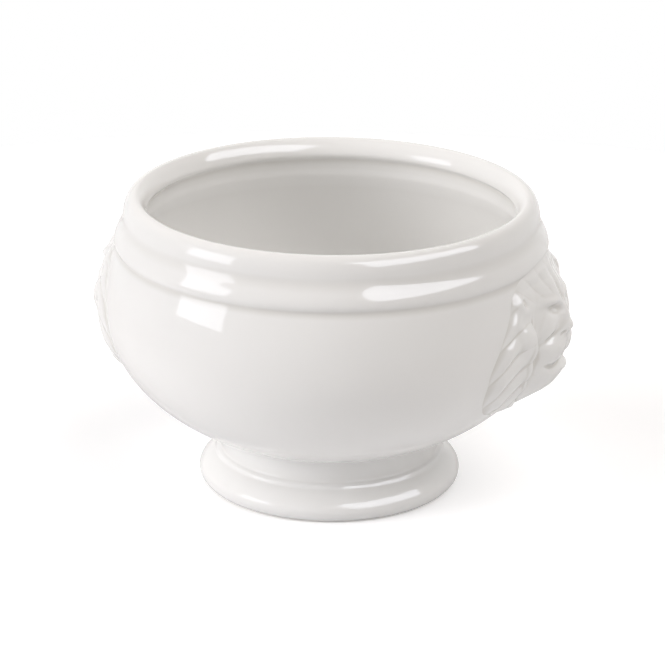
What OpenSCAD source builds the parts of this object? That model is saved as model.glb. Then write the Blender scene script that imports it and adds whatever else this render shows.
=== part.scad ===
// Round porcelain soup bowl on a pedestal foot, with a lion's head on each side.
// The origin is on the table at the centre of the foot. X runs through the two heads.

/* [Heights] */
// Height of the foot disc, from the table to its crease
foot_h = 8.6; // [6:0.1:14]
// Height of the neck between the foot disc and the belly
neck_h = 6.4; // [4:0.1:12]
// Height of the belly, from the neck to the lower groove
belly_h = 52; // [40:0.5:75]
// Height of the rounded band between the two grooves
band_h = 7.8; // [5:0.1:12]
// Height of the rolled rim above the upper groove
rim_h = 5.2; // [4:0.1:8]

/* [Belly and rim] */
// Outside diameter of the belly at its widest line
belly_d = 120.4; // [100:0.2:150]
// How far the belly draws in from its widest line to the lower groove
shoulder_in = 3.3; // [1.5:0.1:6]
// How far the band swells past the lower groove
band_swell = 1.1; // [0.4:0.1:2.5]
// How far the upper groove lies inside the lower one
collar_in = 2.3; // [0.5:0.1:5]
// How far the rolled rim stands out past the upper groove
rim_out = 0.6; // [0.2:0.1:1.5]
// Width of the rolled rim
rim_w = 6.6; // [5.6:0.1:9]
// Thickness of the belly's wall
wall = 4.6; // [3:0.1:6]
// Thickness of the floor at its centre
floor_t = 5; // [3:0.1:8]
// How far the soft ring inside the collar stands out of the wall
inner_ring = 0.7; // [0.2:0.1:1.5]

/* [Foot] */
// Outside diameter of the neck
neck_d = 58; // [48:0.2:70]
// How far the neck's hollow curve goes in
neck_waist = 0.5; // [0.1:0.1:1.5]
// How far the foot disc spreads past the neck
foot_spread = 6.5; // [4:0.1:10]
// Height of the foot disc's rounded edge
foot_edge = 5; // [3:0.1:6]
// Wall of the hollow foot
foot_wall = 4; // [2.5:0.1:6]
// Width of the bare ring that the bowl stands on
ring_w = 3.2; // [2:0.1:4]

/* [Lion heads] */
// Width of a head with its mane
mask_w = 60; // [44:0.5:64]
// Height of a head with its mane
mask_h = 40.5; // [32:0.5:44]
// How far the top of a head laps over the lower groove, on to the band
mask_lap = 1.5; // [0.5:0.1:2.5]
// Depth of relief that the heights of a face are shares of
relief = 7; // [4:0.1:9]
// Thickness of a head at its edge
mask_edge = 0.3; // [0.2:0.05:0.6]
// Locks of hair round a head
locks = 20; // [12:2:24]

/* [Joints] */
// Thickness of the slip that holds the foot and the heads
slip_t = 0.5; // [0.3:0.05:0.8]
// Gap on each side of a layer of slip
seam = 0.03; // [0.02:0.01:0.05]

/* [Hidden] */

$fn = 120;

glaze = "#F2F0EC";
slip_white = "#E6E2DA";

// Heights above the table
z_crease = foot_h;
z_neck = z_crease + neck_h;
z_lower = z_neck + belly_h;
z_upper = z_lower + band_h;
z_rim = z_upper + rim_h;
wide_share = 0.673;
z_wide = z_neck + belly_h * wide_share;

// Radii of the outline
r_belly = belly_d / 2;
r_lower = r_belly - shoulder_in;
r_band = r_lower + band_swell;
r_upper = r_lower - collar_in;
r_rim_out = r_upper + rim_out;
r_crest = r_rim_out - rim_w / 2;
r_neck = neck_d / 2;
r_seat = r_neck - foot_wall;
r_foot = r_neck + foot_spread;

// Half heights of the ellipses that the belly's outline follows below and above its widest line
low_half = (z_wide - z_neck) / sqrt(1 - pow(r_neck / r_belly, 2));
high_half = (z_lower - z_wide) / sqrt(1 - pow(r_lower / r_belly, 2));

// Inside of the bowl
r_in = r_belly - wall;
r_in_top = r_lower - wall;
z_floor = z_wide - low_half + floor_t;
in_high_half = (z_lower - z_wide) / sqrt(1 - pow(r_in_top / r_in, 2));

// Radius of the outer wall at a height
function wall_r(z) = let (half = z < z_wide ? low_half : high_half) r_belly * sqrt(1 - pow((z - z_wide) / half, 2));

// Height of the bowl's underside at a radius
function under_z(r) = z_wide - low_half * sqrt(1 - pow(r / r_belly, 2));

// Points of an ellipse between two angles
function sweep(centre, half, from, to, steps) =
    [for (i = [0:steps]) let (a = from + (to - from) * i / steps) centre + [half.x * cos(a), half.y * sin(a)]];

// Radius and centre of the arc from a to b that swells to the right of its direction by s
function arc_radius(a, b, s) = let (chord = norm(b - a)) (chord * chord / 4 + s * s) / (2 * abs(s));
function arc_centre(a, b, s) =
    let (d = b - a, n = [d.y, -d.x] / norm(d)) (a + b) / 2 - n * sign(s) * (arc_radius(a, b, s) - abs(s));

// Points of that arc, without a itself
function bulge(a, b, s, steps) =
    let (centre = arc_centre(a, b, s), start = a - centre,
         turn = sign(s) * 2 * asin(min(1, norm(b - a) / (2 * arc_radius(a, b, s)))))
    [for (i = [1:steps]) let (t = turn * i / steps)
        centre + [start.x * cos(t) - start.y * sin(t), start.x * sin(t) + start.y * cos(t)]];

// The band swells from the lower groove to its fullest line by this arc
band_low = [r_lower, z_lower];
band_full = [r_band, z_lower + band_h * 0.45];
band_arc = band_h * 0.07;

// Radius of the outside at a height, from the belly up over the lower half of the band
function outside_r(z) =
    z < z_lower ? wall_r(z) :
    let (centre = arc_centre(band_low, band_full, band_arc), radius = arc_radius(band_low, band_full, band_arc))
    centre.x + sqrt(radius * radius - pow(z - centre.y, 2));

// The seat of the foot on the bowl's underside, from its inner to its outer edge
seat_steps = 6;
function seat(down) = [for (i = [0:seat_steps]) let (r = r_seat + foot_wall * i / seat_steps) [r, under_z(r) - down]];

// Outline of the bowl: underside, belly, band, rolled rim, then down the inside
function bowl_outline() = concat(
    [for (i = [0:9]) [r_seat * i / 10, under_z(r_seat * i / 10)]],
    seat(0),
    [for (i = [1:26]) let (a = asin((z_wide - z_neck) / low_half) * (1 - i / 26))
        [r_belly * cos(a), z_wide - low_half * sin(a)]],
    [for (i = [1:10]) let (a = asin((z_lower - z_wide) / high_half) * i / 10)
        [r_belly * cos(a), z_wide + high_half * sin(a)]],
    bulge(band_low, band_full, band_arc, 6),
    bulge(band_full, [r_upper, z_upper], band_h * 0.12, 8),
    sweep([r_crest, z_rim - rim_h * 0.6], [rim_w / 2, rim_h * 0.6], -25, 205, 26),
    bulge([r_crest - rim_w * 0.453, z_rim - rim_h * 0.854], [r_in_top - collar_in, z_upper - rim_h * 0.35],
          rim_h * -0.08, 3),
    bulge([r_in_top - collar_in, z_upper - rim_h * 0.35], [r_in_top - inner_ring, z_lower], band_h * -0.09, 6),
    [for (i = [0:12]) let (a = asin((z_lower - z_wide) / in_high_half) * (1 - i / 12))
        [r_in * cos(a), z_wide + in_high_half * sin(a) - (i == 0 ? inner_ring * 3 : 0)]],
    [for (i = [1:30]) let (a = 90 * i / 30) [r_in * cos(a), z_wide - (z_wide - z_floor) * sin(a)]]
);

module bowl() {
    color(glaze) rotate_extrude() polygon(bowl_outline());
}

module foot() {
    top = seat(slip_t);
    crease = [r_neck - neck_waist, z_crease];
    shoulder = [r_neck + foot_spread * 0.16, z_crease - foot_h * 0.09];
    edge = [r_foot - foot_spread * 0.16, foot_edge];
    sole = [r_foot - foot_spread * 0.3, 0];
    heel = sole - [ring_w, 0];
    color(glaze) rotate_extrude() polygon(concat(
        [for (i = [seat_steps:-1:0]) top[i]],
        bulge(top[0], heel + [-foot_wall * 0.25, foot_wall * 0.25], foot_wall * 0.12, 6),
        bulge(heel + [-foot_wall * 0.25, foot_wall * 0.25], heel, foot_wall * 0.07, 3),
        [sole],
        bulge(sole, edge, foot_edge * 0.3, 10),
        bulge(edge, shoulder, foot_h * 0.04, 6),
        bulge(shoulder, crease, foot_h * 0.05, 4),
        bulge(crease, top[seat_steps], -neck_waist, 6)
    ));
}

// Ring of slip between the bowl and the foot, with a small bead squeezed out at each side
module foot_slip() {
    over = seat(seam);
    below = seat(slip_t - seam);
    bead = slip_t / 2 - seam;
    color(slip_white) rotate_extrude() polygon(concat(
        over,
        bulge(over[seat_steps], below[seat_steps], -bead, 6),
        [for (i = [seat_steps - 1:-1:0]) below[i]],
        bulge(below[0], over[0], -bead, 5)
    ));
}

// Half sizes and height of the middle of a head
half_w = mask_w / 2;
half_h = mask_h / 2;
z_mask = z_lower + mask_lap - half_h;

// Above this height a head leaves the belly and bridges the lower groove
z_bridge = z_lower - 2 * mask_lap;

// Swellings and hollows of the face: how far across, how far up, half width and half height, as shares of the
// head's half sizes, the height as a share of the relief, and the slope at which it rises outward
feature_shares = [
    [0, 0.70, 0.36, 0.25, 0.26, 0],             // forelock
    [0.20, 0.52, 0.14, 0.06, 0.13, 0.25],       // brow
    [0, 0.57, 0.03, 0.12, -0.07, 0],            // furrow between the brows
    [0.165, 0.40, 0.10, 0.06, -0.20, 0.30],     // eye socket
    [0.165, 0.39, 0.05, 0.035, 0.12, 0.30],     // eye
    [0, 0.29, 0.105, 0.17, 0.26, 0],            // bridge of the nose
    [0, 0.11, 0.14, 0.085, 0.29, 0],            // tip of the nose
    [0.11, 0.055, 0.035, 0.025, -0.12, -0.4],   // nostril
    [0.30, 0.28, 0.12, 0.14, 0.12, -0.2],       // cheekbone
    [0.43, 0.05, 0.08, 0.14, -0.15, 0],         // hollow of the cheek
    [0.28, -0.05, 0.14, 0.06, -0.07, -0.1],     // fold over the muzzle
    [0.45, -0.56, 0.10, 0.14, -0.13, 0],        // hollow beside the jaw
    [0, -0.20, 0.022, 0.15, -0.10, 0],          // cleft of the lip
    [0.60, 0.68, 0.09, 0.13, 0.22, 0.3],        // ear
    [0.56, 0.65, 0.04, 0.07, -0.18, 0.3]        // hollow of the ear
];
// The same for the fuller forms, with flatter tops
pad_shares = [
    [0.15, -0.37, 0.20, 0.225, 0.36, -0.10],    // muzzle
    [0, -0.75, 0.31, 0.19, 0.50, 0]             // jaw
];
// Half sizes of the face
face_shares = [0.49, 0.98];
// Heights of the ground, of the dome of the face, of the mane and of its crest beside the face
ground_share = 0.14;
dome_share = 0.38;
mane_share = 0.34;
crest_share = 0.42;
// Height and depth of the line of the mouth
mouth_up_share = -0.505;
mouth_depth_share = 0.12;
// How far the locks swing down on their way out, in degrees
swing = 24;

function ease(x) = let (t = min(1, max(0, x))) t * t * (3 - 2 * t);
function soft_max(a, b) = (a + b + sqrt(pow(a - b, 2) + 0.009)) / 2;
function swelling(p, q, f, power) =
    let (x = abs(p) - f[0])
    f[4] * exp(-pow(abs(x / f[2]), power) - pow(abs((q - f[1] - f[5] * x) / f[3]), power));
function swellings(p, q, list, power, i = 0) =
    i == len(list) ? 0 : swelling(p, q, list[i], power) + swellings(p, q, list, power, i + 1);

// 0 in the middle of the face and 1 on its edge
function face_out(p, q) =
    pow(pow(abs(p) / face_shares.x, 2.4) + pow(abs(q) / face_shares.y, 2.4), 1 / 2.4);

// Height of the face, full at the cheeks and soft at the crown
function face_height(p, q) =
    let (dome = pow(max(0, 1 - pow(face_out(p, q + 0.05), 2)), 0.7 + 0.8 * ease((q - 0.1) / 0.4)),
         mouth = (1 - ease((abs(p) - 0.26) / 0.14)) * exp(-pow((q - mouth_up_share - 0.5 * p * p) / 0.045, 2)))
    ground_share * (1 - ease((abs(q + 0.15) - 0.65) / 0.35)) + dome_share * dome
    + swellings(p, q, feature_shares, 2) + swellings(p, q, pad_shares, 3) - mouth_depth_share * mouth;

// 0 on the back of a lock and 1 in the furrow between two locks
function furrow(turn) = let (f = turn - floor(turn)) pow(abs(2 * f - 1), 2.6);

// Height of a head above the wall as a share of the relief, at a share s of the way out
function head(p, q, s) =
    let (out = face_out(p, q),
         m = out <= 1 ? 0 : min(1, (out - 1) / max(0.001, out / s - 1)),
         around = atan2(abs(p) * half_w, q * half_h),
         turn = locks / 360 * (around - swing * m * m * sin(around)),
         side = ease((around - 40) / 50),
         hair = soft_max(mane_share - 0.04 * ease(m), crest_share * exp(-pow((m - 0.14) / 0.15, 2))),
         depth = 0.04 * ease((out - 1) / 0.1) + 0.06 * ease(m / 0.6))
    soft_max(face_height(p, q), hair * ease((out - 0.99) / 0.16) * side) - depth * side * furrow(turn + 0.5);

// 1 over the head, falling softly to 0 at its edge
function border(s) = 1 - ease((s - 0.94) / 0.06);

// Place on the head at a share s of the way out in a direction a, narrower at the ears than below
function place(a, s) =
    let (reach = s / pow(pow(abs(cos(a)), 3) + pow(abs(sin(a)), 3), 1 / 3), q = reach * sin(a))
    [reach * cos(a) * (1 - 0.19 * ease((q + 0.2) / 0.8)), q];

// Radius of the face that a head is seated on: the belly, then a straight line over the groove to the band
function seat_radius(z) =
    z < z_bridge ? wall_r(z) :
    wall_r(z_bridge) + (r_band - wall_r(z_bridge)) * (z - z_bridge) / (z_lower + mask_lap - z_bridge);

// A point over the wall at a direction a, a share s of the way out and a height h
function over_wall(a, s, h) =
    let (pq = place(a, s), y = half_w * pq.x, z = z_mask + half_h * pq.y,
         r = outside_r(z) + (seat_radius(z) - outside_r(z)) * border(s))
    [sqrt(r * r - y * y) + h, y, z];

// The rings of a face run evenly from its middle to its edge, which is the half way ring, and on to the border
edge_most_share = 0.84;
function ring_share(a, u) =
    let (rim = place(a, 1), edge = min(edge_most_share, 1 / face_out(rim.x, rim.y)))
    u < 0.5 ? 2 * u * edge : edge + (2 * u - 1) * (1 - edge);

function head_height(a, s) =
    let (pq = place(a, s)) seam + mask_edge * (1 - border(s)) + relief * border(s) * head(pq.x, pq.y, s);

// Faces of a closed skin of rings with a point at each end
function skin(rings, n) = concat(
    [for (k = [0:n - 1]) [0, 1 + (k + 1) % n, 1 + k]],
    [for (i = [0:rings - 2], k = [0:n - 1], side = [0, 1])
        let (a = 1 + i * n + k, b = 1 + i * n + (k + 1) % n) side == 0 ? [a, b, b + n] : [a, b + n, a + n]],
    [for (k = [0:n - 1]) [1 + (rings - 1) * n + k, 1 + (rings - 1) * n + (k + 1) % n, 1 + rings * n]]
);

// A closed piece laid on the wall: a front of rings from the middle out, then a back of rings to the middle.
// Each ring has a share of the way out and a height, or modelled in place of the height.
modelled = -1;
module laid_piece(front, back, n) {
    rings = concat(front, back);
    points = concat(
        [over_wall(0, 0, front[0][1] == modelled ? head_height(0, 0.001) : front[0][1])],
        [for (r = rings, k = [0:n - 1]) let (a = 360 * k / n)
            r[1] == modelled ? let (s = ring_share(a, r[0])) over_wall(a, s, head_height(a, s)) :
            over_wall(a, r[0], r[1])],
        [over_wall(0, 0, back[len(back) - 1][1])]
    );
    polyhedron(points, skin(len(rings), n));
}

// The share of the head that its layer of slip covers, and the rings and sectors of the two pieces
slip_share = 0.8;
slip_rings = 7;
slip_sectors = 48;
head_sectors = 2 * slip_sectors;

module lion_head() {
    front = concat(
        [for (i = [1:11]) [0.5 * i / 11, modelled]],
        [for (i = [1:8]) [0.5 + 0.42 * i / 8, modelled]],
        [[0.955, modelled], [0.98, modelled], [1, modelled]]
    );
    back = concat(
        [[1, seam], [0.92, seam], [slip_share + 0.02, seam]],
        [for (i = [slip_rings:-1:1]) [slip_share * i / slip_rings, slip_t + 2 * seam]]
    );
    laid_piece(front, back, head_sectors);
}

module lion_slip() {
    front = [for (i = [1:slip_rings]) [slip_share * i / slip_rings, slip_t]];
    back = [for (i = [slip_rings:-1:1]) [slip_share * i / slip_rings, seam]];
    laid_piece(front, back, slip_sectors);
}

module lion_head_right() {
    color(glaze) lion_head();
}

module lion_head_left() {
    color(glaze) rotate([0, 0, 180]) lion_head();
}

module lion_slip_right() {
    color(slip_white) lion_slip();
}

module lion_slip_left() {
    color(slip_white) rotate([0, 0, 180]) lion_slip();
}

bowl();
foot();
foot_slip();
lion_head_left();
lion_head_right();
lion_slip_left();
lion_slip_right();
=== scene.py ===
"""Glazed porcelain soup bowl with lion heads, on a pale table in soft studio light."""
import math
import bpy
import numpy as np
from mathutils import Matrix, Vector


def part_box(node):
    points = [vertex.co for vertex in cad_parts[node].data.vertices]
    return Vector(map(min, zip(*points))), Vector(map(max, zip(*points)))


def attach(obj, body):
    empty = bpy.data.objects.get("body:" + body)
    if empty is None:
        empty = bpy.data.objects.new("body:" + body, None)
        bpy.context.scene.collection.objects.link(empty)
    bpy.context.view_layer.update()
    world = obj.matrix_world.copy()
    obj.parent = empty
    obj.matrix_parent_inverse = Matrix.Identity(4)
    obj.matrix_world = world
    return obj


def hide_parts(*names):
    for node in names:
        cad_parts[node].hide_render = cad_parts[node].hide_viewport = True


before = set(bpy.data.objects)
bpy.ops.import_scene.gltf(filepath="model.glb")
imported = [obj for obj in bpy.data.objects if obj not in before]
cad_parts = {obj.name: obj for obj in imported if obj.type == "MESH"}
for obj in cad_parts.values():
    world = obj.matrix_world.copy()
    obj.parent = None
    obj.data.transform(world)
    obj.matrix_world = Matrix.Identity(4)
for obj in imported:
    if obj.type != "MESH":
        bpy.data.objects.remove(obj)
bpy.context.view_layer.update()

# Millimetres, the unit of every size below, in metres
MM = 0.001


# Sizes in millimetres, all from the frame except the head's half width

bowl_box = np.array(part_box("bowl")) / MM
foot_box = np.array(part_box("foot")) / MM
head_box = np.array(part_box("lion_head_right")) / MM

BELLY_R = bowl_box[1][1]
RIM_Z = bowl_box[1][2]
FOOT_R = foot_box[1][1]
HEAD_HALF_W = 30.0
HEAD_HALF_H = (head_box[1][2] - head_box[0][2]) / 2
HEAD_Z = (head_box[1][2] + head_box[0][2]) / 2

# Heights above the table, and the neck's radius
CREASE_Z = 9.3
NECK_Z = 15.0
WIDEST_Z = 50.0
NECK_R = 29.0

# Radius and height of each turn of the rim and the band, from the belly over the crest to the inside
LOWER_GROOVE = (BELLY_R - 3.3, 66.6)
BAND_EDGE = (BELLY_R - 2.7, 67.7)
UPPER_GROOVE = (BELLY_R - 5.15, 74.7)
RIM_SHOULDER = (BELLY_R - 6.2, 78.6)
CREST = (BELLY_R - 9.0, RIM_Z)
LIP_EDGE = (BELLY_R - 11.6, 75.3)
THROAT = (BELLY_R - 10.3, 74.1)
COLLAR = (BELLY_R - 9.8, 69.6)
INNER_TOP = (BELLY_R - 8.0, 65.5)

# Thickness of the wall, of the floor, of the foot and of the slip under the bowl
WALL = 4.6
FLOOR = 5.0
FOOT_WALL = 4.0
SLIP = 0.5

# Radius and height of each turn of the foot, from the crease under the neck to the hollow inside
FOOT_SPREAD = FOOT_R - NECK_R
CREASE = (NECK_R + 0.5, CREASE_Z)
BEAD = (NECK_R + 1.8, CREASE_Z - 1.15)
FOOT_EDGE = (FOOT_R - FOOT_SPREAD * 0.16, 5.0)
SOLE = (FOOT_R - FOOT_SPREAD * 0.4, 0.0)
HEEL = (SOLE[0] - 2.6, 0.0)
HOLLOW = (HEEL[0] - FOOT_WALL * 0.25, FOOT_WALL * 0.25)
SEAT_R = NECK_R - FOOT_WALL

# Distance between the points of an outline, and how far the glaze rounds its corners
POINT_GAP = 0.3
GLAZE_REACH = 0.42
# Number of flat sides of a turned piece
SIDES = 320
# Depth of the hollows that are full of glaze and take the full painted shade. The foot's are wide, so the glaze
# runs out of them.
BOWL_POOL_AND_SHADE = 0.6
FOOT_POOL_AND_SHADE = 3.0
HEAD_POOL_AND_SHADE = 0.07

# Half heights of the ellipses that the belly follows, outside and inside
LOW_HALF = (WIDEST_Z - NECK_Z) / math.sqrt(1 - (NECK_R / BELLY_R) ** 2)
HIGH_HALF = (LOWER_GROOVE[1] - WIDEST_Z) / math.sqrt(1 - (LOWER_GROOVE[0] / BELLY_R) ** 2)
INNER_R = BELLY_R - WALL
INNER_LOW_HALF = LOW_HALF - FLOOR
INNER_HIGH_HALF = (INNER_TOP[1] - WIDEST_Z) / math.sqrt(1 - (INNER_TOP[0] / INNER_R) ** 2)

# Depth of relief that the heights of a lion's face are shares of, and the number of locks round it
RELIEF = 6.74
LOCKS = 20
# Height above which a head bridges the lower groove, and how much it leans in from there
SEAT_BRIDGE_Z = 64.0
SEAT_LEAN = 0.1


# Outlines

def ease(x):
    """0 below 0 and 1 above 1, with a soft rise between."""
    t = np.clip(x, 0, 1)
    return t * t * (3 - 2 * t)


def ellipse(centre, half, start, stop, steps):
    """Points of an ellipse between two angles in degrees."""
    angles = np.radians(np.linspace(start, stop, steps))
    return np.stack([centre[0] + half[0] * np.cos(angles), centre[1] + half[1] * np.sin(angles)], 1)


def bulge(a, b, swell, steps=12):
    """Points of an arc from a to b that swells to the right of its direction, without a itself."""
    a, b = np.array(a, float), np.array(b, float)
    chord = np.linalg.norm(b - a)
    right = np.array([b[1] - a[1], a[0] - b[0]]) / chord
    t = np.linspace(0, 1, steps + 1)[1:, None]
    if swell == 0:
        return a + (b - a) * t
    radius = (chord ** 2 / 4 + swell ** 2) / (2 * abs(swell))
    side = math.copysign(1, swell)
    centre = (a + b) / 2 - right * side * (radius - abs(swell))
    turn = side * 2 * math.asin(min(1, chord / (2 * radius))) * t
    x, y = a - centre
    return centre + np.hstack([x * np.cos(turn) - y * np.sin(turn), x * np.sin(turn) + y * np.cos(turn)])


def glaze_rounded(points):
    """The outline at an even spacing, with its corners filled and rounded as a coat of glaze does."""
    points = np.array(points, float)
    along = np.concatenate([[0], np.cumsum(np.linalg.norm(np.diff(points, axis=0), axis=1))])
    steps = int(along[-1] / POINT_GAP)
    even = np.linspace(0, along[-1], steps + 1)
    line = np.stack([np.interp(even, along, points[:, 0]), np.interp(even, along, points[:, 1])], 1)
    span = int(3 * GLAZE_REACH / POINT_GAP)
    weights = np.exp(-0.5 * (np.arange(-span, span + 1) * POINT_GAP / GLAZE_REACH) ** 2)
    weights /= weights.sum()
    padded = np.vstack([2 * line[0] - line[span:0:-1], line, 2 * line[-1] - line[-2:-span - 2:-1]])
    soft = np.stack([np.convolve(padded[:, i], weights, "valid") for i in (0, 1)], 1)
    soft[0], soft[-1] = line[0], line[-1]
    return soft


def wall_radius(z):
    """Radius of the belly's outside at a height."""
    half = np.where(z < WIDEST_Z, LOW_HALF, HIGH_HALF)
    return BELLY_R * np.sqrt(1 - ((z - WIDEST_Z) / half) ** 2)


def underside(r):
    """Height of the bowl's underside at a radius."""
    return WIDEST_Z - LOW_HALF * np.sqrt(1 - (r / BELLY_R) ** 2)


def ogee(a, b, steps=14):
    """Points of an S-shaped curve from a to b that is upright at both ends, without a itself."""
    t = np.linspace(0, 1, steps)[1:]
    return np.stack([a[0] + (b[0] - a[0]) * ease(t), a[1] + (b[1] - a[1]) * t], 1)


def pooling_and_shade(line, depth, reach=6):
    """How thick the glaze stands in the hollows of an outline, and how much painted shade they take, from 0 to 1
    where a hollow is depth deep or more.

    A hollow's depth is measured from the straight line between the points reach before and reach after.
    """
    a, b, here = line[:-2 * reach], line[2 * reach:], line[reach:-reach]
    chord = b - a
    outward = np.stack([chord[:, 1], -chord[:, 0]], 1) / np.linalg.norm(chord, axis=1)[:, None]
    behind = ((a - here) * outward).sum(1)
    return np.pad(np.clip(behind / depth, 0, 1), reach)


def bowl_outline():
    """From the middle of the underside, up the outside, over the rim and down to the middle of the floor."""
    low_turn = math.degrees(math.asin((WIDEST_Z - NECK_Z) / LOW_HALF))
    high_turn = math.degrees(math.asin((LOWER_GROOVE[1] - WIDEST_Z) / HIGH_HALF))
    in_turn = math.degrees(math.asin((INNER_TOP[1] - WIDEST_Z) / INNER_HIGH_HALF))
    parts = [
        ellipse((0, WIDEST_Z), (BELLY_R, LOW_HALF), -90, -low_turn, 60),
        ellipse((0, WIDEST_Z), (BELLY_R, LOW_HALF), -low_turn, 0, 90)[1:],
        ellipse((0, WIDEST_Z), (BELLY_R, HIGH_HALF), 0, high_turn, 40)[1:],
        bulge(LOWER_GROOVE, BAND_EDGE, 0.12),
        ogee(BAND_EDGE, UPPER_GROOVE),
        bulge(UPPER_GROOVE, RIM_SHOULDER, 0.22),
        bulge(RIM_SHOULDER, CREST, 0.45),
        bulge(CREST, LIP_EDGE, 0.6),
        [THROAT],
        bulge(THROAT, COLLAR, -0.15),
        bulge(COLLAR, INNER_TOP, 0.1),
        ellipse((0, WIDEST_Z), (INNER_R, INNER_HIGH_HALF), in_turn, 0, 40)[1:],
        ellipse((0, WIDEST_Z), (INNER_R, INNER_LOW_HALF), 0, -90, 120)[1:],
    ]
    return glaze_rounded(np.vstack(parts))


def foot_outline():
    """From the inner edge of the seat, down the hollow, round the disc and up the neck into the bowl's clay."""
    seat_in = (SEAT_R, underside(SEAT_R) - SLIP)
    neck_top = (NECK_R + 0.35, underside(NECK_R) - 0.6)
    sunk = (NECK_R + 1.0, underside(NECK_R) + 0.9)
    parts = [
        [seat_in],
        bulge(seat_in, HOLLOW, FOOT_WALL * 0.12),
        bulge(HOLLOW, HEEL, FOOT_WALL * 0.07),
        bulge(HEEL, SOLE, 0),
        bulge(SOLE, FOOT_EDGE, 1.5),
        bulge(FOOT_EDGE, BEAD, 0.3),
        bulge(BEAD, CREASE, 0.5),
        bulge(CREASE, neck_top, -0.25),
        bulge(neck_top, sunk, -0.1),
    ]
    line = glaze_rounded(np.vstack(parts))
    line[:, 1] = np.maximum(line[:, 1], 0)
    return line


# Meshes

def new_piece(name, verts, faces, pool_and_shade, material, replaced, slot):
    """A smooth closed mesh that stands for a CAD node, carrying by vertex the glaze's thickness in its hollows and
    their painted shade.
    """
    mesh = bpy.data.meshes.new(name)
    mesh.from_pydata((np.array(verts) * MM).tolist(), [], faces)
    mesh.attributes.new("pool_and_shade", "FLOAT", "POINT").data.foreach_set("value", np.array(pool_and_shade, np.float32))
    mesh.validate()
    mesh.update()
    for face in mesh.polygons:
        face.use_smooth = True
    piece = bpy.data.objects.new(name, mesh)
    bpy.context.scene.collection.objects.link(piece)
    mesh.materials.append(material)
    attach(piece, "root")
    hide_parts(replaced)
    return piece


def lathe(outline, sides, closed, depth=None):
    """Points, faces, and glaze pooling with painted shade in the hollows, of an outline turned about the upright
    axis.

    Closed joins its ends, and otherwise they lie on the axis. Hollows of this depth are full of glaze and take the
    full painted shade.
    """
    turns = np.linspace(0, 2 * math.pi, sides, endpoint=False)
    on_axis = [] if closed else [0, len(outline) - 1]
    pool_and_shade = pooling_and_shade(outline, depth) if depth else np.zeros(len(outline))
    verts, rows, shade_and_glaze = [], [], []
    for i, (r, z) in enumerate(outline):
        if i in on_axis:
            rows.append([len(verts)] * sides)
            verts.append((0.0, 0.0, z))
            shade_and_glaze.append(pool_and_shade[i])
        else:
            rows.append(list(range(len(verts), len(verts) + sides)))
            verts += [(r * math.cos(t), r * math.sin(t), z) for t in turns]
            shade_and_glaze += [pool_and_shade[i]] * sides
    faces = []
    pairs = list(zip(rows, rows[1:])) + ([(rows[-1], rows[0])] if closed else [])
    for low, high in pairs:
        for k in range(sides):
            ring = [low[k], low[(k + 1) % sides], high[(k + 1) % sides], high[k]]
            faces.append(list(dict.fromkeys(ring)))
    return verts, faces, shade_and_glaze


# The lions' heads. Places are shares of a head's half width and half height, heights are shares of RELIEF.

# How far across, how far up, half width, half height, height and slope of each swelling or hollow
FACE = {
    "forelock": (0, 0.70, 0.36, 0.25, 0.26, 0),
    "brow": (0.20, 0.52, 0.14, 0.06, 0.16, 0.25),
    "furrow": (0, 0.57, 0.03, 0.12, -0.07, 0),
    "eye_socket": (0.165, 0.40, 0.10, 0.06, -0.20, 0.30),
    "eye": (0.165, 0.39, 0.050, 0.035, 0.12, 0.30),
    "nose_bridge": (0, 0.29, 0.105, 0.17, 0.26, 0),
    "nose_tip": (0, 0.11, 0.14, 0.085, 0.29, 0),
    "nostril": (0.11, 0.07, 0.035, 0.025, -0.07, -0.4),
    "cheekbone": (0.30, 0.25, 0.12, 0.13, 0.16, -0.2),
    "cheek_hollow": (0.43, -0.16, 0.06, 0.26, -0.27, 0),
    "fold": (0.29, 0.06, 0.12, 0.05, -0.12, -0.5),
    "lower_lip": (0, -0.43, 0.17, 0.055, 0.11, 0.15),
    "jaw_hollow": (0.45, -0.56, 0.10, 0.14, -0.13, 0),
    "lip_cleft": (0, -0.10, 0.022, 0.11, -0.10, 0),
    "ear": (0.60, 0.68, 0.09, 0.13, 0.22, 0.3),
    "ear_hollow": (0.56, 0.65, 0.04, 0.07, -0.18, 0.3),
}
# The same for the fuller forms, with flatter tops
PADS = {
    "muzzle": (0.15, -0.15, 0.20, 0.17, 0.28, -0.10),
    "jaw": (0, -0.58, 0.31, 0.24, 0.48, 0),
}
# And for the curl in front of each ear, which stands on the mane
CURL = (0.62, 0.20, 0.09, 0.20, 0.18, 0.25)
# Half width and half height of the face
FACE_HALF_W = 0.49
FACE_HALF_H = 0.98
# How far the locks of the mane swing down on their way out, in degrees
SWING = 24
# Height of the mane by the face and of its ridge, depth of its furrows, and depth of those over the brow
MANE = 0.34
MANE_RIDGE = 0.42
MANE_FURROW = 0.07
CROWN_FURROW = 0.045
# How deep the mouth is, and the height of its line, which waves round the lobes of the muzzle
MOUTH = 0.15
MOUTH_LINE = -0.335
# How far a head's skin runs under the wall's at its border, and how far its back lies inside the wall
BORDER_SINK = 0.08
BACK_SINK = 0.8
# Number of rings on the inner and outer half of a head, and of sectors round it
INNER_RINGS = 60
OUTER_RINGS = 70
SECTORS = 320


def soft_max(a, b, blend):
    """The larger of two heights, with a rounded valley where they meet."""
    return (a + b + np.sqrt((a - b) ** 2 + blend)) / 2


def swelling(p, q, place, power):
    """Height of one swelling or hollow, and of its mirror image. A higher power has a flatter top."""
    across, up, half_w, half_h, height, slope = place
    x = np.abs(p) - across
    return height * np.exp(-np.abs(x / half_w) ** power - np.abs((q - up - slope * x) / half_h) ** power)


def face_distance(p, q):
    """0 in the middle of the face and 1 on its edge."""
    across, up = np.abs(p / FACE_HALF_W), np.abs(q / FACE_HALF_H)
    return (across ** 2.4 + up ** 2.4) ** (1 / 2.4)


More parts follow.
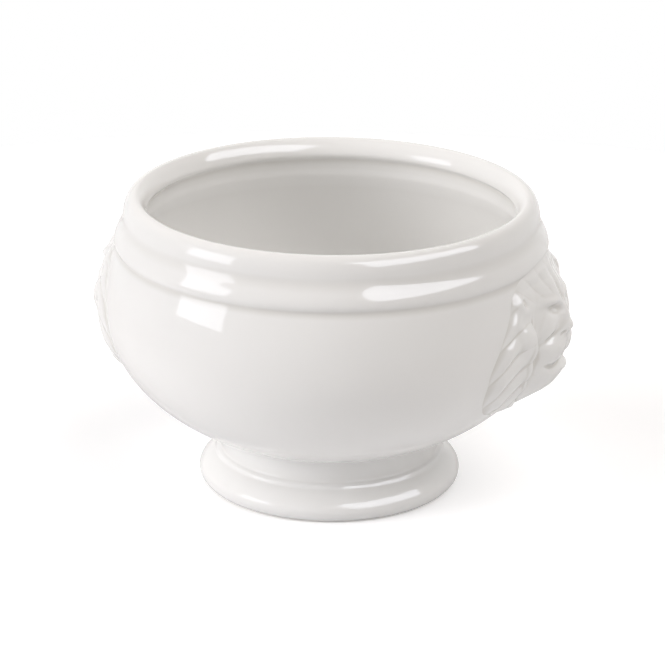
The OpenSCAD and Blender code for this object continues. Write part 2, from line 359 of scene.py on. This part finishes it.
def face_relief(p, q):
    """Height of the face: a dome that is full at the cheeks and soft at the crown, and its features."""
    dome = np.maximum(0, 1 - face_distance(p, q + 0.05) ** 2) ** (0.7 + 0.8 * ease((q - 0.1) / 0.4))
    height = 0.14 * (1 - ease((np.abs(q + 0.15) - 0.65) / 0.35)) + 0.38 * dome
    for place in FACE.values():
        height = height + swelling(p, q, place, 2)
    for place in PADS.values():
        height = height + swelling(p, q, place, 3)
    mouth = MOUTH * (1 - ease((np.abs(p) - 0.22) / 0.18))
    line = MOUTH_LINE + 0.035 * np.cos(2 * math.pi * p / 0.36)
    return height - mouth * np.exp(-((q - line) / 0.05) ** 2)


def furrow_between(turn):
    """0 on the back of a lock and 1 in the furrow between two locks."""
    f = turn - np.floor(turn)
    return np.abs(2 * f - 1) ** 1.8


def head_relief(p, q, share):
    """Height of a head above the wall, as a share of RELIEF."""
    reach = face_distance(p, q)
    full = np.maximum(0.001, reach / np.maximum(share, 0.01) - 1)
    # 0 at the face's edge and 1 at the head's, and which lock of the mane this is
    out = np.where(reach <= 1, 0, np.minimum(1, (reach - 1) / full))
    around = np.degrees(np.arctan2(np.abs(p) * HEAD_HALF_W, q * HEAD_HALF_H))
    lock = LOCKS / 360 * (around - SWING * out * out * np.sin(np.radians(around)))
    side = ease((around - 40) / 50)
    ridge = MANE_RIDGE * np.exp(-((out - 0.14) / 0.15) ** 2)
    hair = soft_max(MANE - 0.04 * ease(out), ridge, 0.004) * ease((reach - 0.99) / 0.16) * side
    curl = swelling(p, q, CURL, 3)
    depth = MANE_FURROW * ease((reach - 1) / 0.1) + 0.08 * ease(out / 0.6)
    furrow = side * depth * furrow_between(lock + 0.5)
    lock_over_brow = np.abs(p) / (1.2 * np.maximum(q, 0.3)) * 5
    crown = CROWN_FURROW * ease((q - 0.55) / 0.2) * (1 - side) * furrow_between(lock_over_brow)
    off_curl = 1 - np.minimum(1, 4 * curl)
    return soft_max(face_relief(p, q), hair + curl, 0.009) - (furrow + crown) * off_curl


def border(share):
    """1 over the head, falling softly to 0 at its edge, where the glaze fills the corner to the wall."""
    return 1 - ease((share - 0.88) / 0.12)


def head_place(share, a):
    """Place on the head at a share of the way out in a direction, narrower at the ears than below."""
    across, up = np.cos(a), np.sin(a)
    reach = share / (np.abs(across) ** 3 + np.abs(up) ** 3) ** (1 / 3)
    q = reach * up
    return reach * across * (1 - 0.19 * ease((q + 0.2) / 0.8)), q


def seat_radius(z):
    """Radius of the wall that a head lies on; it bridges the lower groove."""
    return wall_radius(np.minimum(z, SEAT_BRIDGE_Z)) - SEAT_LEAN * np.maximum(0, z - SEAT_BRIDGE_Z)


def head_pooling_and_shade(height, shares):
    """How thick the glaze stands in the hollows of a head, and how much painted shade they take, from its heights
    by ring and sector.
    """
    reach = 3
    out, into = np.roll(height, -reach, 0), np.roll(height, reach, 0)
    out[-reach:], into[:reach] = height[-reach:], height[:reach]
    beside = np.empty_like(height)
    for i, share in enumerate(shares):
        sector_width = HEAD_HALF_W * share * 2 * math.pi / SECTORS
        step = max(1, round(0.6 / sector_width))
        beside[i] = (np.roll(height[i], step) + np.roll(height[i], -step)) / 2
    return np.clip(((out + into) / 4 + beside / 2 - height) / HEAD_POOL_AND_SHADE, 0, 1)


def lion_head(name, side, material):
    """A head whose border runs softly into the wall. Side is 1 on the right and -1 on the left."""
    outline = bowl_outline()
    outside = outline[np.argmax(outline[:, 0] > NECK_R):np.argmax(outline[:, 1] > UPPER_GROOVE[1])]
    around = np.linspace(0, 2 * math.pi, SECTORS, endpoint=False)
    shares = np.concatenate([np.linspace(0, 0.5, INNER_RINGS + 1)[1:], np.linspace(0.5, 1, OUTER_RINGS + 1)[1:]])
    share, turn = np.meshgrid(shares, around, indexing="ij")

    def over_wall(share, turn, height, edge):
        """Points at a height over the bowl's wall, where edge is 0, or over the head's seat, where it is 1."""
        p, q = head_place(share, turn)
        y, z = HEAD_HALF_W * p, HEAD_Z + HEAD_HALF_H * q
        wall = np.interp(z, outside[:, 1], outside[:, 0]) - BORDER_SINK
        radius = wall + (seat_radius(z) - wall) * edge
        return np.stack([np.sqrt(radius ** 2 - y * y) + height, y, z], -1)

    height = RELIEF * head_relief(*head_place(share, turn), share) * border(share)
    middle = over_wall(0, 0, RELIEF * head_relief(0, 0, 0.01), 1)
    front = over_wall(share, turn, height, border(share))
    back = [over_wall(s, around, -BACK_SINK, 0) for s in (0.97, 0.7, 0.4, 0.15)]
    back_middle = over_wall(0, 0, -BACK_SINK, 0)
    verts = np.vstack([middle[None], front.reshape(-1, 3), *back, back_middle[None]]) * (side, side, 1)
    pool_and_shade = np.concatenate([[0], head_pooling_and_shade(height, shares).ravel(), np.zeros(len(back) * SECTORS + 1)])
    rings = [1 + i * SECTORS for i in range(len(shares) + len(back))]
    faces = []
    for k in range(SECTORS):
        beside = (k + 1) % SECTORS
        faces.append([0, 1 + k, 1 + beside])
        for ring, outer in zip(rings, rings[1:]):
            faces.append([ring + k, outer + k, outer + beside, ring + beside])
        faces.append([rings[-1] + k, len(verts) - 1, rings[-1] + beside])
    return new_piece(name, verts, faces, pool_and_shade, material, name.replace("_glazed", ""), "glazed_porcelain")


# Materials

def linear(text):
    """A colour written as an sRGB hex value, as linear red, green, blue and alpha."""
    parts = [int(text[i:i + 2], 16) / 255 for i in (1, 3, 5)]
    return [c / 12.92 if c <= 0.04045 else ((c + 0.055) / 1.055) ** 2.4 for c in parts] + [1.0]


def add_node(tree, kind, settings=None, links=None):
    """Add a node. Settings fill its properties or unlinked sockets, links feed its sockets."""
    node = tree.nodes.new(kind)
    for key, value in (settings or {}).items():
        if isinstance(key, str) and hasattr(node, key):
            setattr(node, key, value)
        else:
            node.inputs[key].default_value = value
    for key, source in (links or {}).items():
        tree.links.new(source, node.inputs[key])
    return node


def new_material(name):
    """An empty node material and its tree."""
    material = bpy.data.materials.new(name)
    material.use_nodes = True
    material.node_tree.nodes.clear()
    return material, material.node_tree


# How much of the greyer colour the deepest hollows take: partly pooled glaze, partly painted shade
POOL_AND_SHADE_TINT = 0.5


def glazed_porcelain():
    """White porcelain under a clear gloss glaze, fired to about 1300 degrees.

    It gives the eye a warm milky white with sharp reflections that waver a little where the glaze ran, a greyer
    tint in the hollows that is partly pooled glaze and partly painted shade, a few pale iron specks, and a dry
    bare ring where the foot stands.
    """
    material, tree = new_material("glazed_porcelain")
    place = add_node(tree, "ShaderNodeTexCoord").outputs["Object"]
    # Slow drift of the body's colour over some 30 mm
    drift = add_node(tree, "ShaderNodeTexNoise", {"Scale": 1 / (30 * MM), "Detail": 2.0}, {"Vector": place})
    body = add_node(tree, "ShaderNodeMix", {"data_type": "RGBA", 6: linear("#EFEFEE"), 7: linear("#F2F2F1")},
                    {0: drift.outputs["Fac"]})
    # Thicker glaze in furrows and grooves, with painted shade there, from the values that each mesh carries
    pool_and_shade = add_node(tree, "ShaderNodeAttribute", {"attribute_name": "pool_and_shade"})
    tint = add_node(tree, "ShaderNodeMath", {"operation": "MULTIPLY", 1: POOL_AND_SHADE_TINT}, {0: pool_and_shade.outputs["Fac"]})
    pooled_and_shaded = add_node(tree, "ShaderNodeMix", {"data_type": "RGBA", 7: linear("#C9C6BE")},
                      {0: tint.outputs[0], 6: body.outputs[2]})
    # Iron specks up to 0.3 mm wide, about one in each cube of 14 mm
    cell = add_node(tree, "ShaderNodeTexVoronoi", {"Scale": 1 / (14 * MM)}, {"Vector": place})
    speck = add_node(tree, "ShaderNodeMapRange", {1: 0.004, 2: 0.012, 3: 0.5, 4: 0.0},
                     {0: cell.outputs["Distance"]})
    specked = add_node(tree, "ShaderNodeMix", {"data_type": "RGBA", 7: linear("#B4A48E")},
                       {0: speck.outputs[0], 6: pooled_and_shaded.outputs[2]})
    # Bare clay on the standing ring, up to an edge that wavers between 0.1 and 0.7 mm above the table
    height = add_node(tree, "ShaderNodeSeparateXYZ", None, {0: place})
    edge = add_node(tree, "ShaderNodeTexNoise", {"Scale": 1 / (5 * MM)}, {"Vector": place})
    wavy = add_node(tree, "ShaderNodeMath", {"operation": "MULTIPLY_ADD", 1: 0.6 * MM},
                    {0: edge.outputs["Fac"], 2: height.outputs[2]})
    bare = add_node(tree, "ShaderNodeMapRange", {1: 0.7 * MM, 2: 1.0 * MM, 3: 1.0, 4: 0.0}, {0: wavy.outputs[0]})
    colour = add_node(tree, "ShaderNodeMix", {"data_type": "RGBA", 7: linear("#EAE4DA")},
                      {0: bare.outputs[0], 6: specked.outputs[2]})
    gloss = add_node(tree, "ShaderNodeMix", {2: 0.06, 3: 0.75}, {0: bare.outputs[0]})
    # Waver of the glaze over some 14 mm, and its fine skin over some 3 mm
    waver = add_node(tree, "ShaderNodeTexNoise", {"Scale": 1 / (14 * MM), "Detail": 1.0}, {"Vector": place})
    skin = add_node(tree, "ShaderNodeTexNoise", {"Scale": 1 / (3 * MM), "Detail": 1.0}, {"Vector": place})
    both = add_node(tree, "ShaderNodeMath", {"operation": "MULTIPLY_ADD", 1: 0.06},
                    {0: skin.outputs["Fac"], 2: waver.outputs["Fac"]})
    bump = add_node(tree, "ShaderNodeBump", {"Strength": 0.4, "Distance": 0.10 * MM}, {"Height": both.outputs[0]})
    shader = add_node(tree, "ShaderNodeBsdfPrincipled", {"IOR": 1.55},
                      {"Base Color": colour.outputs[2], "Roughness": gloss.outputs[0],
                       "Normal": bump.outputs["Normal"]})
    add_node(tree, "ShaderNodeOutputMaterial", None, {"Surface": shader.outputs["BSDF"]})
    return material


def fired_slip():
    """Bare fired slip: matte, slightly warm, with a fine grain of about 0.3 mm."""
    material, tree = new_material("fired_slip")
    place = add_node(tree, "ShaderNodeTexCoord").outputs["Object"]
    grain = add_node(tree, "ShaderNodeTexNoise", {"Scale": 1 / (0.3 * MM), "Detail": 3.0}, {"Vector": place})
    colour = add_node(tree, "ShaderNodeMix", {"data_type": "RGBA", 6: linear("#E0DBD1"), 7: linear("#ECE8E0")},
                      {0: grain.outputs["Fac"]})
    bump = add_node(tree, "ShaderNodeBump", {"Strength": 0.4, "Distance": 0.05 * MM},
                    {"Height": grain.outputs["Fac"]})
    shader = add_node(tree, "ShaderNodeBsdfPrincipled", {"Roughness": 0.8, "IOR": 1.5},
                      {"Base Color": colour.outputs[2], "Normal": bump.outputs["Normal"]})
    add_node(tree, "ShaderNodeOutputMaterial", None, {"Surface": shader.outputs["BSDF"]})
    return material


# The bowl's pieces

porcelain = glazed_porcelain()
slip = fired_slip()

new_piece("bowl_glazed", *lathe(bowl_outline(), SIDES, False, BOWL_POOL_AND_SHADE), porcelain, "bowl", "glazed_porcelain")
new_piece("foot_glazed", *lathe(foot_outline(), SIDES, True, FOOT_POOL_AND_SHADE), porcelain, "foot", "glazed_porcelain")
lion_head("lion_head_right_glazed", 1, porcelain)
lion_head("lion_head_left_glazed", -1, porcelain)
for name in ("foot_slip", "lion_slip_left", "lion_slip_right"):
    joint = bpy.data.objects[name]
    joint.data.materials.clear()
    joint.data.materials.append(slip)


# Camera, at the photograph's viewing angle

VIEW_TURN = math.radians(17.5)
VIEW_RISE = math.radians(20.13)
VIEW_ROLL = math.radians(0.53)
VIEW_DISTANCE = 800 * MM
SENSOR_MM = 36
PHOTO_SIDE = 665
PHOTO_PX_PER_MM = 3.73
# Where the point AIM_Z above the table, on the bowl's axis, falls in the photograph
AIM_Z = 40
AIM_PX = (330.5, 335.0)

back = np.array([math.sin(VIEW_TURN) * math.cos(VIEW_RISE), -math.cos(VIEW_TURN) * math.cos(VIEW_RISE),
                 math.sin(VIEW_RISE)])
right = np.array([math.cos(VIEW_TURN), math.sin(VIEW_TURN), 0])
up = np.cross(back, right)


def add_camera():
    """A camera that sees the bowl where the photograph does."""
    data = bpy.data.cameras.new("camera")
    data.sensor_width = SENSOR_MM
    data.lens = data.sensor_width * PHOTO_PX_PER_MM * VIEW_DISTANCE / MM / PHOTO_SIDE
    camera = bpy.data.objects.new("camera", data)
    bpy.context.scene.collection.objects.link(camera)
    middle = PHOTO_SIDE / 2
    aim = (np.array([0, 0, AIM_Z]) + right * (middle - AIM_PX[0]) / PHOTO_PX_PER_MM
           + up * (AIM_PX[1] - middle) / PHOTO_PX_PER_MM) * MM
    camera.location = aim + back * VIEW_DISTANCE
    turned = [right * math.cos(VIEW_ROLL) + up * math.sin(VIEW_ROLL),
              up * math.cos(VIEW_ROLL) - right * math.sin(VIEW_ROLL), back]
    camera.rotation_mode = "QUATERNION"
    camera.rotation_quaternion = Matrix(np.array(turned).T.tolist()).to_quaternion()
    bpy.context.scene.camera = camera


add_camera()


# Studio

def studio_direction(turn, rise):
    """Direction from the bowl, turned in degrees from the camera's to its right, and raised."""
    a, e = VIEW_TURN + math.radians(turn), math.radians(rise)
    return Vector((math.sin(a) * math.cos(e), -math.cos(a) * math.cos(e), math.sin(e)))


def softbox(name, turn, rise, distance, width, height, watts, colour):
    """A rectangular lamp that faces the bowl. Its distance and size are in metres."""
    toward = studio_direction(turn, rise)
    data = bpy.data.lights.new(name, "AREA")
    data.shape = "RECTANGLE"
    data.size, data.size_y = width, height
    data.energy = watts
    data.color = linear(colour)[:3]
    lamp = bpy.data.objects.new(name, data)
    bpy.context.scene.collection.objects.link(lamp)
    lamp.location = toward * distance + Vector((0, 0, AIM_Z * MM))
    lamp.rotation_mode = "QUATERNION"
    lamp.rotation_quaternion = toward.to_track_quat("Z", "Y")
    return lamp


softbox("window_left", -67.5, 15.8, 1.1, 0.53, 0.474, 2.7, "#F4F7FF")
# This lamp is only the softbox's shape in the glaze. Its light on the clay is that of the world's right walls.
softbox("softbox_right", 56, 41, 1.2, 1.45, 0.72, 16.0, "#F4F7FF").visible_diffuse = False

# Radius, thickness and edge of the table top in millimetres, and its number of sides
TABLE_R = 330
TABLE_T = 2
TABLE_EDGE = 2
TABLE_SIDES = 96


def studio_table():
    """Round white table top, whose far edge shows in the bowl as a soft line."""
    material, tree = new_material("white_table")
    ray = add_node(tree, "ShaderNodeLightPath")
    paint = add_node(tree, "ShaderNodeBsdfDiffuse", {"Color": linear("#F2F3F5")})
    glow = add_node(tree, "ShaderNodeEmission", {"Color": linear("#FFFFFF"), "Strength": 0.30})
    both = add_node(tree, "ShaderNodeAddShader", None, {0: paint.outputs[0], 1: glow.outputs[0]})
    shader = add_node(tree, "ShaderNodeMixShader", None,
                      {0: ray.outputs["Is Camera Ray"], 1: paint.outputs[0], 2: both.outputs[0]})
    add_node(tree, "ShaderNodeOutputMaterial", None, {"Surface": shader.outputs[0]})
    outline = [(0, -TABLE_T), (TABLE_R, -TABLE_T), (TABLE_R + TABLE_EDGE, -TABLE_T / 2), (TABLE_R, 0), (0, 0)]
    verts, faces, _ = lathe(np.array(outline, float), TABLE_SIDES, False)
    mesh = bpy.data.meshes.new("table")
    mesh.from_pydata((np.array(verts) * MM).tolist(), [], faces)
    mesh.materials.append(material)
    table = bpy.data.objects.new("table", mesh)
    bpy.context.scene.collection.objects.link(table)


# The light walls of the room: turn from the camera, rise, outer and inner half width in degrees, and strength
ROOM = {
    "left_low": (-75, 12, 28, 8, 2.0),
    "left_high": (-75, 32, 28, 8, 2.4),
    "front_left": (-42, 35, 30, 8, 0.55),
    "front": (5, 30, 35, 8, 0.26),
    "right_low": (75, 15, 28, 8, 0.75),
    "right_middle": (60, 38, 28, 8, 1.1),
    "right_high": (60, 62, 30, 8, 2.65),
    "back": (180, 25, 60, 15, 1.1),
}


def studio_world():
    """White behind the bowl and in its reflections, and soft light walls that light it from three sides."""
    world = bpy.data.worlds.new("studio")
    bpy.context.scene.world = world
    world.use_nodes = True
    tree = world.node_tree
    tree.nodes.clear()
    toward = add_node(tree, "ShaderNodeTexCoord").outputs["Generated"]
    total = None
    for turn, rise, outer, inner, strength in ROOM.values():
        near = add_node(tree, "ShaderNodeVectorMath",
                        {"operation": "DOT_PRODUCT", 1: studio_direction(turn, rise)}, {0: toward})
        wall = add_node(tree, "ShaderNodeMapRange",
                        {"interpolation_type": "SMOOTHSTEP", "To Max": strength,
                         "From Min": math.cos(math.radians(outer)), "From Max": math.cos(math.radians(inner))},
                        {"Value": near.outputs["Value"]})
        total = add_node(tree, "ShaderNodeMath", {"operation": "ADD", 1: 0.0},
                         {0: wall.outputs["Result"], **({1: total} if total else {})}).outputs[0]
    # The walls end at the table's height
    height = add_node(tree, "ShaderNodeSeparateXYZ", None, {0: toward})
    above = add_node(tree, "ShaderNodeMath", {"operation": "GREATER_THAN", 1: 0.0}, {0: height.outputs[2]})
    light = add_node(tree, "ShaderNodeMath", {"operation": "MULTIPLY"}, {0: total, 1: above.outputs[0]})
    room = add_node(tree, "ShaderNodeBackground", {"Color": linear("#FFFAF6")}, {"Strength": light.outputs[0]})
    white = add_node(tree, "ShaderNodeBackground", {"Color": linear("#FFFFFF"), "Strength": 1.0})
    ray = add_node(tree, "ShaderNodeLightPath")
    seen = add_node(tree, "ShaderNodeMath", {"operation": "MAXIMUM"},
                    {0: ray.outputs["Is Camera Ray"], 1: ray.outputs["Is Transmission Ray"]})
    shown = add_node(tree, "ShaderNodeMath", {"operation": "MAXIMUM"},
                     {0: seen.outputs[0], 1: ray.outputs["Is Glossy Ray"]})
    both = add_node(tree, "ShaderNodeMixShader", None,
                    {0: shown.outputs[0], 1: room.outputs[0], 2: white.outputs[0]})
    add_node(tree, "ShaderNodeOutputWorld", None, {"Surface": both.outputs[0]})


studio_table()
studio_world()
bpy.context.scene.view_settings.view_transform = "Standard"
